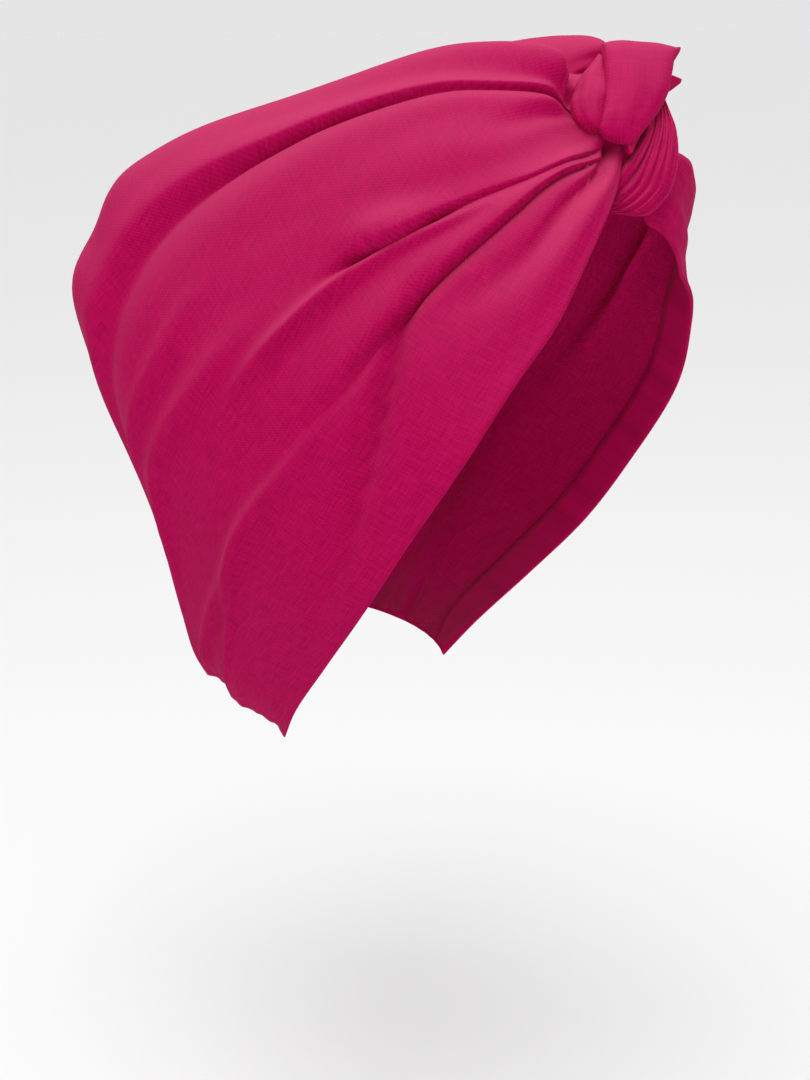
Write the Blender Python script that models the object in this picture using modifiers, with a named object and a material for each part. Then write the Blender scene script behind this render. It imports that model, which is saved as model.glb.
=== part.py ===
# A turban headwrap: a deep cloth crown, gathered into a knot above the forehead.
# Metres, +Z up. The wearer faces -Y, and the origin is the middle of the hollow that fits over the hair.
import math

import bmesh
import bpy
import numpy as np

# The crown
crownWidth = 0.148  # between the two side hems, over the ears
frontReach = 0.070  # origin to the hem over the forehead
backReach = 0.147  # origin to the fullest part of the back
crownHeight = 0.118  # origin to the top, in the valley between the two rolls
napeDrop = 0.104  # origin down to the ends of the nape hem
clothThickness = 0.0013
foldDepth = 0.007  # height of a fold that has a lift of 1
gatherDepth = 0.002  # waves along the nape hem
napeArch = 0.009  # how far the middle of the nape hem curves up

# The knot
knotWidth = 0.036
knotDepth = 0.032
knotHeight = 0.054
knotOffset = 0.003  # the knot sits a little to the wearer's left
overBulge = 0.008  # how far the over strand swells forwards from its edges
overBelly = 0.013  # and back into the knot
underBulge = 0.006
underBelly = 0.007
pleatDepth = 0.0007
tailThickness = 0.0022
seatGap = 0.0003  # between cloth that touches
neckGap = 0.0006  # between the knot and the creased end of the crown
neckPoint = 0.3  # how far the seat of the knot reaches past the end of the crown, in rows of faces
wedgeDepth = 0.1  # how much deeper each row leaves the space between the hems open, a share of the way up
hemClearance = 0.001  # past each hem, where a strand lies inside it

# The middle of the knot, tied to the hem's forward reach and to the top of the crown
knotCentre = np.array([knotOffset, -0.886 * frontReach, 0.836 * crownHeight])
knotSize = np.array([knotWidth, knotDepth, knotHeight])

# Cross sections of the crown from the knot back to the nape. Along runs from 0 at the knot to 1 at the
# nape hem. Each section is an arch from the hem on one side, over the middle, to the hem on the other side,
# and sweep is the angle from its middle to its hem.
# Sections at the knot, as shares of the knot's size, from its centre
sectionColumns = ("along", "hemOut", "hemBack", "hemUp", "midBack", "midUp", "sweep")
knotSections = [
    (0.00, 0.045, -0.10, 0.03, 0.25, 0.24, 165),
    (0.03, 0.14, -0.09, -0.18, 0.58, 0.26, 158),
    (0.07, 0.36, -0.17, -0.33, 0.78, 0.29, 133),
    (0.11, 0.64, -0.25, -0.45, 0.93, 0.32, 121),
]
# Sections of the rest of the crown, as shares: hemOut of half the width, back of frontReach or backReach, and
# up of crownHeight or napeDrop, whichever lies on that side of the origin
crownSections = [
    (0.17, 0.49, -1.00, 0.52, -0.28, 0.985, 114),
    (0.26, 0.66, -0.96, 0.38, 0.03, 0.975, 106),
    (0.38, 0.82, -0.845, 0.23, 0.335, 0.90, 99),
    (0.50, 0.945, -0.67, 0.03, 0.695, 0.76, 97),
    (0.62, 1.00, -0.425, -0.21, 0.915, 0.545, 99),
    (0.74, 0.985, -0.155, -0.46, 0.985, 0.245, 102),
    (0.86, 0.88, 0.065, -0.68, 0.815, -0.25, 106),
    (0.94, 0.77, 0.185, -0.865, 0.705, -0.625, 108),
    (1.00, 0.675, 0.25, -0.985, 0.645, -0.86, 106),
]

# Folds that run from the knot to the nape. A path is the share of the way from the middle to the hem, and a
# lift is a share of foldDepth, both at foldAlong. A fold with a crease overhangs a narrow valley.
rightSide, leftSide = -1, 1
foldAlong = (0, 0.08, 0.2, 0.35, 0.5, 0.65, 0.8, 1)
foldColumns = ("side", "width", "crease", "path", "lift")
folds = [
    # The wearer's right: the roll over the top, and the crease under it
    (rightSide, 0.12, 0, (0.30, 0.24, 0.20, 0.22, 0.26, 0.33, 0.42, 0.50),
     (0.5, 1.65, 1.4, 0.75, 1, 0.9, -0.4, 0)),
    (rightSide, 0.06, 0.8, (0.42, 0.38, 0.335, 0.36, 0.36, 0.42, 0.52, 0.62),
     (0.2, 0.4, 0.5, 0.55, 0.5, 0.5, 0.3, 0)),
    (rightSide, 0.035, 0, (0.50, 0.50, 0.50, 0.50, 0.46, 0.485, 0.565, 0.62),
     (0, 0, 0, 0, 0.2, 0.4, 0.25, 0)),
    # The broad field at the side
    (rightSide, 0.12, 0, (0.60, 0.56, 0.52, 0.53, 0.55, 0.56, 0.56, 0.56),
     (0, 0.2, 0.5, 0.5, 0.35, 0.2, 0, 0)),
    # The middle crease, the pocket where it ends and the ridge below it
    (rightSide, 0.06, 0.7, (0.82, 0.77, 0.705, 0.70, 0.71, 0.72, 0.73, 0.74),
     (0.2, 0.4, 0.5, 0.6, 0.15, 0, 0, 0)),
    (rightSide, 0.018, 0, (0.71, 0.71, 0.705, 0.702, 0.702, 0.71, 0.71, 0.71),
     (0, 0, 0, -0.8, -0.2, 0, 0, 0)),
    (rightSide, 0.02, 0, (0.74, 0.74, 0.735, 0.727, 0.722, 0.72, 0.72, 0.72),
     (0, 0, 0, 0.35, 0.35, 0, 0, 0)),
    # The lower crease
    (rightSide, 0.05, 0.7, (0.88, 0.79, 0.775, 0.81, 0.835, 0.83, 0.81, 0.80),
     (0.2, 0.35, 0.45, 0.55, 0.4, 0.1, 0, 0)),
    # The band along the hem, with its two shallow valleys
    (rightSide, 0.025, 0, (0.83, 0.83, 0.83, 0.83, 0.885, 0.94, 0.96, 0.97),
     (0, 0, 0, -0.1, -0.4, -0.3, 0, 0)),
    (rightSide, 0.02, 0, (0.88, 0.83, 0.865, 0.85, 0.85, 0.85, 0.85, 0.85),
     (-0.2, -0.4, -0.35, -0.1, 0, 0, 0, 0)),
    (rightSide, 0.04, 0, (0.95, 0.93, 0.93, 0.93, 0.93, 0.95, 0.95, 0.95),
     (0.1, 0.3, 0.3, 0.1, 0, 0, 0, 0)),
    # A soft ridge down the back
    (rightSide, 0.025, 0, (0.66, 0.66, 0.66, 0.66, 0.66, 0.66, 0.62, 0.58),
     (0, 0, 0, 0, 0.1, 0.3, 0.25, 0)),
    # The wearer's left
    (leftSide, 0.12, 0, (0.30, 0.24, 0.20, 0.22, 0.26, 0.33, 0.42, 0.50),
     (0.5, 2.05, 1.4, 0.75, 1, 0.9, -0.4, 0)),
    (leftSide, 0.06, 0.8, (0.42, 0.40, 0.36, 0.38, 0.38, 0.44, 0.52, 0.62),
     (0.2, 0.4, 0.5, 0.55, 0.5, 0.4, 0.3, 0)),
    (leftSide, 0.12, 0, (0.60, 0.56, 0.55, 0.56, 0.57, 0.56, 0.56, 0.56),
     (0, 0.2, 0.5, 0.5, 0.35, 0.2, 0, 0)),
    (leftSide, 0.06, 0.8, (0.80, 0.75, 0.72, 0.73, 0.74, 0.75, 0.75, 0.75),
     (0.3, 0.5, 0.5, 0.45, 0.2, 0, 0, 0)),
    (leftSide, 0.05, 0.8, (0.84, 0.80, 0.80, 0.83, 0.84, 0.84, 0.84, 0.84),
     (0.3, 0.5, 0.45, 0.35, 0.2, 0.1, 0, 0)),
    # The band along its hem, full where it leaves the knot, and how close the hem then lies
    (leftSide, 0.07, 0, (0.90, 0.90, 0.90, 0.92, 0.94, 0.95, 0.95, 0.95),
     (0, 1.3, 0.7, 0.1, 0, 0, 0, 0)),
    (leftSide, 0.25, 0, (1, 1, 1, 1, 1, 1, 1, 1),
     (0, 0.5, -0.5, -0.5, 0, 0, 0, 0)),
]

# Corners and hollows: the place of each along and across the crown, how far it reaches each way and its lift
dentColumns = ("side", "along", "across", "reachAlong", "reachAcross", "lift")
dents = [
    (rightSide, 0.55, 0.23, 0.04, 0.09, 0.25),
    (rightSide, 0.61, 0.27, 0.03, 0.09, -0.2),
    (rightSide, 0.67, 0.32, 0.035, 0.1, 0.3),
]
gatherAlong = (0, 0.05, 0.1, 0.25, 1)
gatherShare = (0.15, 0.3, 0.75, 1, 1)  # folds flatten where the cloth is packed into the knot
lipPlace = 0.6  # how far the lip of a crease stands back from it, in widths
lipWidth = 0.62  # in widths
creasePlace = 0.012  # how far the bottom of a crease lies past its path, as a share of the way to the hem
creaseWidth = 0.027
napeGathers = 7.5
gatherStart = 0.84  # along the crown
gatherRise = 1.5
archStart = 0.9

# Sections of each strand of the knot: its two edges, as shares of the knot's size from its centre. What a
# section shares with the crown or with a strand that lies over it is cut away, so the pieces meet there.
strandColumns = ("along", "leftX", "leftY", "leftZ", "rightX", "rightY", "rightZ")
overStrand = [
    (0.00, 0.07, 0.21, 0.40, 0.41, -0.19, 0.39),
    (0.08, 0.00, 0.25, 0.39, 0.44, -0.25, 0.37),
    (0.22, -0.09, 0.28, 0.32, 0.37, -0.26, 0.30),
    (0.42, -0.26, 0.35, 0.18, 0.29, -0.28, 0.17),
    (0.60, -0.38, 0.36, 0.08, 0.16, -0.27, 0.07),
    (0.78, -0.44, 0.27, 0.00, 0.00, -0.25, -0.02),
    (0.91, -0.42, 0.15, -0.05, -0.12, -0.22, -0.09),
    (1.00, -0.38, 0.04, -0.09, -0.21, -0.20, -0.12),
]
underStrand = [
    (0.00, 0.21, -0.02, 0.12, 0.34, -0.18, 0.13),
    (0.15, 0.11, -0.06, 0.01, 0.28, -0.28, 0.02),
    (0.30, -0.01, -0.04, -0.08, 0.26, -0.38, -0.08),
    (0.45, -0.14, -0.02, -0.17, 0.23, -0.43, -0.20),
    (0.60, -0.24, 0.03, -0.25, 0.15, -0.44, -0.31),
    (0.75, -0.31, 0.07, -0.33, 0.06, -0.40, -0.44),
    (0.88, -0.33, 0.12, -0.39, -0.08, -0.29, -0.52),
    (1.00, -0.34, 0.14, -0.45, -0.23, -0.03, -0.51),
]
upperTail = [
    (0.0, 0.34, -0.09, 0.38, 0.30, -0.12, 0.25),
    (0.5, 0.58, -0.13, 0.39, 0.53, -0.13, 0.28),
    (1.0, 0.78, -0.12, 0.39, 0.77, -0.12, 0.37),
]
lowerTail = [
    (0.0, 0.28, -0.10, 0.24, 0.24, -0.13, 0.12),
    (0.5, 0.52, -0.15, 0.24, 0.46, -0.13, 0.13),
    (1.0, 0.73, -0.17, 0.21, 0.71, -0.17, 0.19),
]
overSplit = 0.28  # where the side fold of the over strand ends, as a share of its width
overGroove = 0.15  # depth of that line, as a share of overBulge
overGrooveWidth = 0.06
underPleats = 4

# Mesh density
crownAlongFaces = 26
crownAcrossFaces = 56
neckFaces = 7  # of crownAlongFaces, the ones that reach the knot
strandAroundFaces = 28
strandAlongFaces = 20
tailAroundFaces = 16
tailAlongFaces = 8

nearby = 0.002  # a step along or across, to take a direction from

clothColor = (0.53, 0.018, 0.125, 1)
clothRoughness = 0.8


# A smooth curve through the values given at the stations
def smoothCurve(stations, values, at):
    stations = np.asarray(stations, float)
    values = np.asarray(values, float)
    rest = (1,) * (values.ndim - 1)
    step = np.diff(stations)
    slope = np.diff(values, axis=0) / step.reshape((-1,) + rest)
    tangent = np.concatenate([slope[:1], slope, slope[-1:]])
    tangent = (tangent[1:] + tangent[:-1]) / 2
    at = np.clip(at, stations[0], stations[-1])
    index = np.clip(np.searchsorted(stations, at) - 1, 0, len(stations) - 2)
    length = step[index].reshape(at.shape + rest)
    share = ((at - stations[index]) / step[index]).reshape(at.shape + rest)
    squared, cubed = share**2, share**3
    return (
        (2 * cubed - 3 * squared + 1) * values[index]
        + (cubed - 2 * squared + share) * length * tangent[index]
        + (3 * squared - 2 * cubed) * values[index + 1]
        + (cubed - squared) * length * tangent[index + 1]
    )


# One section of the crown in metres: along, hem x, y and z, middle y and z, sweep in radians
def placedSection(section, byKnot):
    row = dict(zip(sectionColumns, section))
    if byKnot:
        hem = (row["hemOut"] * knotWidth, knotCentre[1] + row["hemBack"] * knotDepth)
        middle = knotCentre[1:] + np.array([row["midBack"], row["midUp"]]) * knotSize[1:]
        hemZ = knotCentre[2] + row["hemUp"] * knotHeight
    else:
        hem = (row["hemOut"] * crownWidth / 2, reach(row["hemBack"], frontReach, backReach))
        middle = (reach(row["midBack"], frontReach, backReach), reach(row["midUp"], napeDrop, crownHeight))
        hemZ = reach(row["hemUp"], napeDrop, crownHeight)
    return (row["along"], *hem, hemZ, *middle, math.radians(row["sweep"]))


# A signed share of the size on its side of the origin
def reach(share, negativeSize, positiveSize):
    return share * (positiveSize if share > 0 else negativeSize)


crownTable = np.array(
    [placedSection(section, True) for section in knotSections]
    + [placedSection(section, False) for section in crownSections]
)


# The crown without its folds. Across runs from -1 at the right hem, over 0 in the middle, to 1 at the left
def smoothCrown(along, across):
    columns = smoothCurve(crownTable[:, 0], crownTable[:, 1:], along)
    hemX, hemY, hemZ, midY, midZ, sweep = np.moveaxis(columns, -1, 0)
    angle = np.abs(across) * sweep
    tuck = np.cos(sweep)
    centreY = (hemY - midY * tuck) / (1 - tuck)
    centreZ = (hemZ - midZ * tuck) / (1 - tuck)
    x = np.sign(across) * hemX / np.sin(sweep) * np.sin(angle)
    y = centreY + (midY - centreY) * np.cos(angle)
    z = centreZ + (midZ - centreZ) * np.cos(angle)
    return np.stack([x, y, z], -1)


# How far the folds lift the cloth off that form
def foldHeight(along, across):
    height = np.zeros(along.shape)
    packed = smoothCurve(gatherAlong, gatherShare, along)
    for row in folds:
        fold = dict(zip(foldColumns, row))
        width = fold["width"]
        away = np.abs(across) - smoothCurve(foldAlong, fold["path"], along)
        if fold["crease"]:
            lip = np.exp(-(((away + lipPlace * width) / (lipWidth * width)) ** 2))
            valley = np.exp(-(((away - creasePlace) / creaseWidth) ** 2))
            profile = lip - fold["crease"] * valley
        else:
            profile = np.exp(-((away / width) ** 2))
        lift = smoothCurve(foldAlong, fold["lift"], along) * foldDepth * packed
        height += np.where(across * fold["side"] > 0, profile * lift, 0)
    for row in dents:
        dent = dict(zip(dentColumns, row))
        lengthways = (along - dent["along"]) / dent["reachAlong"]
        sideways = (across * dent["side"] - dent["across"]) / dent["reachAcross"]
        height += dent["lift"] * foldDepth * np.exp(-(lengthways**2) - sideways**2)
    nape = np.clip((along - gatherStart) / (1 - gatherStart), 0, 1) ** gatherRise
    return height + gatherDepth * nape * np.cos(across * math.pi * napeGathers)


# The outer face of the crown, folds and all, or a face that is a gap farther out
def crownSurface(along, across, gap=0):
    base = smoothCrown(along, across)
    down = smoothCrown(along + nearby, across) - smoothCrown(along - nearby, across)
    sideways = smoothCrown(along, across + nearby) - smoothCrown(along, across - nearby)
    normal = np.cross(sideways, down)
    normal /= np.linalg.norm(normal, axis=-1, keepdims=True)
    surface = base + normal * (gap + foldHeight(along, across))[..., None]
    nape = np.clip((along - archStart) / (1 - archStart), 0, 1) ** 2
    surface[..., 2] += napeArch * nape * np.sqrt(np.cos(np.abs(across) * math.pi / 2).clip(0))
    return surface


def newCollection(name):
    collection = bpy.data.collections.new(name)
    bpy.context.scene.collection.children.link(collection)
    return collection


def clothMaterial(name):
    material = bpy.data.materials.new(name)
    material.use_nodes = True
    shader = material.node_tree.nodes["Principled BSDF"]
    shader.inputs["Base Color"].default_value = clothColor
    shader.inputs["Roughness"].default_value = clothRoughness
    shader.inputs["Metallic"].default_value = 0
    return material


def finishPiece(piece, name, collection):
    piece.name = name
    piece.data.name = name
    for other in piece.users_collection:
        other.objects.unlink(piece)
    collection.objects.link(piece)
    piece.data.materials.append(clothMaterial(name))
    piece.data.shade_smooth()
    return piece


# Vertex coordinates of a mesh as rows, and back
def readPoints(mesh):
    points = np.empty(len(mesh.vertices) * 3)
    mesh.vertices.foreach_get("co", points)
    return points.reshape(-1, 3)


def movePoints(mesh, points):
    mesh.vertices.foreach_set("co", points.ravel())
    mesh.update()


def faceOutwards(mesh):
    work = bmesh.new()
    work.from_mesh(mesh)
    bmesh.ops.recalc_face_normals(work, faces=work.faces)
    work.to_mesh(mesh)
    work.free()


# The crown starts as a flat grid, which is bent to its surface and given its thickness inwards
def makeCrown(collection):
    bpy.ops.mesh.primitive_grid_add(x_subdivisions=crownAcrossFaces, y_subdivisions=crownAlongFaces, size=2)
    crown = bpy.context.object
    flat = readPoints(crown.data)
    movePoints(crown.data, crownSurface((1 + flat[:, 1]) / 2, flat[:, 0]))
    shell = crown.modifiers.new("Cloth", "SOLIDIFY")
    shell.thickness = clothThickness
    shell.offset = -1
    return finishPiece(crown, "crown_wrap", collection)


# How far the front of each strand swells from its edges. Share runs across its width from 0 to 1, and swell
# is 0 at the edges and ends and 1 in the middle. The over strand has a groove beside its wide fold
def overFront(share, swell):
    groove = np.exp(-(((share - overSplit) / overGrooveWidth) ** 2))
    return swell * overBulge * (1 - overGroove * groove)


# The under strand has pleats that run along it
def underFront(share, swell):
    return swell * (underBulge - pleatDepth * np.cos(share * 2 * math.pi * underPleats))


def tailFront(share, swell):
    return swell * tailThickness / 2


# Where each vertex of a new sphere lies along it, from pole to pole, and round it, as whole faces
def sphereFaces(mesh, aroundFaces, alongFaces):
    points = readPoints(mesh)
    alongCount = np.arccos(points[:, 2].clip(-1, 1)) / math.pi * alongFaces
    aroundCount = np.arctan2(points[:, 0], points[:, 1]) / (2 * math.pi) * aroundFaces
    return alongCount.round(), aroundCount.round() % aroundFaces


# The two edges of a strand in metres
def strandEdges(table, along):
    columns = dict(zip(strandColumns, np.array(table).T))
    edges = (np.stack([columns[side + axis] for axis in "XYZ"], -1) for side in ("left", "right"))
    return [knotCentre + knotSize * smoothCurve(columns["along"], edge, along) for edge in edges]


# A strand is a sphere whose poles go to the ends of its table. Its front and its belly meet at its edges
def makeStrand(name, table, front, belly, faces, collection):
    aroundFaces, alongFaces = faces
    bpy.ops.mesh.primitive_uv_sphere_add(segments=aroundFaces, ring_count=alongFaces, radius=1)
    strand = bpy.context.object
    alongCount, aroundCount = sphereFaces(strand.data, aroundFaces, alongFaces)
    along = alongCount / alongFaces
    around = aroundCount / aroundFaces * 2 * math.pi
    pole = (alongCount == 0) | (alongCount == alongFaces)
    share = np.where(pole, 0.5, (1 - np.cos(around)) / 2)
    swell = np.where(pole, 0, np.abs(np.sin(around)) * np.sqrt(np.sin(along * math.pi).clip(0)))
    left, right = strandEdges(table, along)
    travel = sum(strandEdges(table, along + nearby)) - sum(strandEdges(table, along - nearby))
    outward = np.cross(travel, right - left)
    outward /= np.linalg.norm(outward, axis=-1, keepdims=True)
    height = np.where(np.sin(around) > 0, front(share, swell), -swell * belly)
    middle = left + (right - left) * share[:, None]
    movePoints(strand.data, middle + outward * height[:, None])
    faceOutwards(strand.data)
    return finishPiece(strand, name, collection)


# The end of the crown as a solid that is neckGap larger all round, with a wedge left open between the hems.
# Its poles close its two ends, and one more column of faces runs down the point of the wedge
def makeNeckCutter(collection):
    aroundFaces, alongFaces = crownAcrossFaces + 2, neckFaces + 2
    bpy.ops.mesh.primitive_uv_sphere_add(segments=aroundFaces, ring_count=alongFaces, radius=1)
    neck = bpy.context.object
    alongCount, aroundCount = sphereFaces(neck.data, aroundFaces, alongFaces)
    along = (alongCount - 1).clip(0, neckFaces) / crownAlongFaces
    points = crownSurface(along, (aroundCount / crownAcrossFaces * 2 - 1).clip(-1, 1), neckGap)
    rings = [alongCount == count for count in range(alongFaces + 1)]
    for row, ring in enumerate(rings[1:-1]):
        column = [np.flatnonzero(ring & (aroundCount == count))[0] for count in range(aroundFaces)]
        top, hem = points[column[crownAcrossFaces // 2]], points[column[0]]
        points[column[-1]] = (0, *(hem + wedgeDepth * row * (top - hem))[1:])
        for edge, neighbour in ((column[0], column[1]), (column[-2], column[-3])):
            past = points[edge] - points[neighbour]
            points[edge] += past * hemClearance / np.linalg.norm(past)
    first, second, last = (points[rings[count]].mean(0) for count in (1, 2, -2))
    points[rings[0]] = first + neckPoint * (first - second)
    points[rings[-1]] = last
    movePoints(neck.data, points)
    faceOutwards(neck.data)
    return finishCutter(neck, "neck_cutter", collection)


# A copy of a strand that is seatGap larger all round
def makeStrandCutter(strand, collection):
    cutter = bpy.data.objects.new(strand.name + "_cutter", strand.data.copy())
    normals = np.empty(len(cutter.data.vertices) * 3)
    cutter.data.vertices.foreach_get("normal", normals)
    movePoints(cutter.data, readPoints(cutter.data) + seatGap * normals.reshape(-1, 3))
    bpy.context.scene.collection.objects.link(cutter)
    return finishCutter(cutter, cutter.name, collection)


def finishCutter(cutter, name, collection):
    cutter.name = name
    for other in cutter.users_collection:
        other.objects.unlink(cutter)
    collection.objects.link(cutter)
    cutter.hide_render = True
    cutter.display_type = "WIRE"
    return cutter


def cutAway(piece, cutters):
    for cutter in cutters:
        cut = piece.modifiers.new(cutter.name, "BOOLEAN")
        cut.operation = "DIFFERENCE"
        cut.solver = "EXACT"
        cut.object = cutter


def main():
    for thing in list(bpy.data.objects):
        bpy.data.objects.remove(thing)
    parts = newCollection("turban_headwrap")
    cutters = newCollection("headwrap_cutters")
    strandFaces = (strandAroundFaces, strandAlongFaces)
    tailFaces = (tailAroundFaces, tailAlongFaces)
    tailBelly = tailThickness / 2
    makeCrown(parts)
    over = makeStrand("knot_over_strand", overStrand, overFront, overBelly, strandFaces, parts)
    under = makeStrand("knot_under_strand", underStrand, underFront, underBelly, strandFaces, parts)
    upper = makeStrand("tail_upper", upperTail, tailFront, tailBelly, tailFaces, parts)
    lower = makeStrand("tail_lower", lowerTail, tailFront, tailBelly, tailFaces, parts)
    neckCutter = makeNeckCutter(cutters)
    overCutter = makeStrandCutter(over, cutters)
    cutAway(over, [neckCutter])
    cutAway(under, [neckCutter, overCutter])
    cutAway(upper, [overCutter])
    cutAway(lower, [overCutter])


main()
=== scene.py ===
# A turban headwrap of plain-weave cotton, gathered into a knot above the forehead.
# Metres, +Z up. The wearer faces -Y, and the wearer's right is -X.
import math

import bmesh
import bpy
import numpy as np
from mathutils import Matrix, Vector


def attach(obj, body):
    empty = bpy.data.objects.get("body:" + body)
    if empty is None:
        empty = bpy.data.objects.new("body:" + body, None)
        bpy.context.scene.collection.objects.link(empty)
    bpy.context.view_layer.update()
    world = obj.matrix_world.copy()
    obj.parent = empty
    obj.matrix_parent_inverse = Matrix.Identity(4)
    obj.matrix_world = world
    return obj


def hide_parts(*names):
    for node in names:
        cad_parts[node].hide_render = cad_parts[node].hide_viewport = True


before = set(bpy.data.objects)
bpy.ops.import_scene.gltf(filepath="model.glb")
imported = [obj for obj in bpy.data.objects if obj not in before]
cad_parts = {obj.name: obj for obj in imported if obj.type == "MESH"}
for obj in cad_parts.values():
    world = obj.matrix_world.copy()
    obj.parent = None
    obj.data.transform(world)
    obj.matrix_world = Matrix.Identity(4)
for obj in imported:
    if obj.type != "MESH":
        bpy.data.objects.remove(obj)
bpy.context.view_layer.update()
print("Frame loaded")

# The main sizes, as in the solids
wrap = {
    "crownWidth": 0.148,
    "frontReach": 0.070,
    "backReach": 0.147,
    "crownHeight": 0.118,
    "napeDrop": 0.104,
    "foldDepth": 0.007,
    "knotCentre": (0.003, -0.06202, 0.098648),
    "knotSize": (0.036, 0.032, 0.054),
}
knotCentre = np.array(wrap["knotCentre"])
knotSize = np.array(wrap["knotSize"])
right, left = -1, 1

# Cross sections of the crown: along it, hem x, y and z, middle y and z, sweep. The first four are shares of
# the knot's size from its centre. The rest are shares of the crown's reaches.
knotSections = [
    (0.00, 0.045, -0.10, 0.03, 0.25, 0.24, 165),
    (0.03, 0.14, -0.09, -0.18, 0.58, 0.26, 158),
    (0.07, 0.36, -0.17, -0.33, 0.78, 0.29, 133),
    (0.11, 0.64, -0.25, -0.45, 0.93, 0.32, 121),
]
crownSections = [
    (0.17, 0.49, -1.00, 0.52, -0.28, 0.985, 114),
    (0.26, 0.66, -0.96, 0.38, 0.03, 0.975, 106),
    (0.38, 0.82, -0.845, 0.23, 0.335, 0.90, 99),
    (0.50, 0.945, -0.67, 0.03, 0.695, 0.76, 97),
    (0.62, 1.00, -0.425, -0.21, 0.915, 0.545, 99),
    (0.74, 0.985, -0.155, -0.46, 0.985, 0.245, 102),
    (0.86, 0.88, 0.065, -0.68, 0.815, -0.25, 106),
    (0.94, 0.77, 0.185, -0.865, 0.705, -0.625, 108),
    (1.00, 0.675, 0.25, -0.985, 0.645, -0.86, 106),
]


# A smooth curve through the values given at the stations
def smoothCurve(stations, values, at):
    stations = np.asarray(stations, float)
    values = np.asarray(values, float)
    rest = (1,) * (values.ndim - 1)
    step = np.diff(stations)
    slope = np.diff(values, axis=0) / step.reshape((-1,) + rest)
    tangent = np.concatenate([slope[:1], slope, slope[-1:]])
    tangent = (tangent[1:] + tangent[:-1]) / 2
    at = np.clip(at, stations[0], stations[-1])
    index = np.clip(np.searchsorted(stations, at) - 1, 0, len(stations) - 2)
    length = step[index].reshape(at.shape + rest)
    share = ((at - stations[index]) / step[index]).reshape(at.shape + rest)
    squared, cubed = share**2, share**3
    return (
        (2 * cubed - 3 * squared + 1) * values[index]
        + (cubed - 2 * squared + share) * length * tangent[index]
        + (3 * squared - 2 * cubed) * values[index + 1]
        + (cubed - squared) * length * tangent[index + 1]
    )


def smoothStep(low, high, value):
    share = np.clip((value - low) / (high - low), 0, 1)
    return share * share * (3 - 2 * share)


# A round hump: 1 in the middle, and almost nothing at twice its width
def hump(away, width):
    return np.exp(-((away / width) ** 2))


# Rises from 0 to 1 over the first stretch, and falls back to 0 over the second
def riseAndFall(stretches, value):
    riseStart, riseEnd, fallStart, fallEnd = stretches
    return smoothStep(riseStart, riseEnd, value) * (1 - smoothStep(fallStart, fallEnd, value))


unevenWaves = {
    "count": 6,
    "turnsX": (0.6, 1.6),
    "turnsY": (-0.9, 0.9),
    "share": 0.25,  # of the sum, which brings it to about -1 to 1
}


# Soft uneven waves for wrinkles and puckers, mostly between -1 and 1
def waves(x, y, seed):
    rng = np.random.default_rng(seed)
    total = np.zeros(np.broadcast(x, y).shape)
    for _ in range(unevenWaves["count"]):
        turnX = rng.uniform(*unevenWaves["turnsX"])
        turnY = rng.uniform(*unevenWaves["turnsY"])
        total += np.sin(2 * math.pi * (turnX * x + turnY * y) + rng.uniform(0, 2 * math.pi))
    return total * unevenWaves["share"]


def reach(share, negativeSize, positiveSize):
    return share * (positiveSize if share > 0 else negativeSize)


def placedSection(section, byKnot):
    along, hemOut, hemBack, hemUp, midBack, midUp, sweep = section
    if byKnot:
        hem = knotCentre + knotSize * np.array([0, hemBack, hemUp])
        middle = knotCentre + knotSize * np.array([0, midBack, midUp])
        return (along, hemOut * knotSize[0], hem[1], hem[2], middle[1], middle[2], math.radians(sweep))
    y = [reach(share, wrap["frontReach"], wrap["backReach"]) for share in (hemBack, midBack)]
    z = [reach(share, wrap["napeDrop"], wrap["crownHeight"]) for share in (hemUp, midUp)]
    return (along, hemOut * wrap["crownWidth"] / 2, y[0], z[0], y[1], z[1], math.radians(sweep))


crownTable = np.array(
    [placedSection(section, True) for section in knotSections]
    + [placedSection(section, False) for section in crownSections]
)

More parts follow.
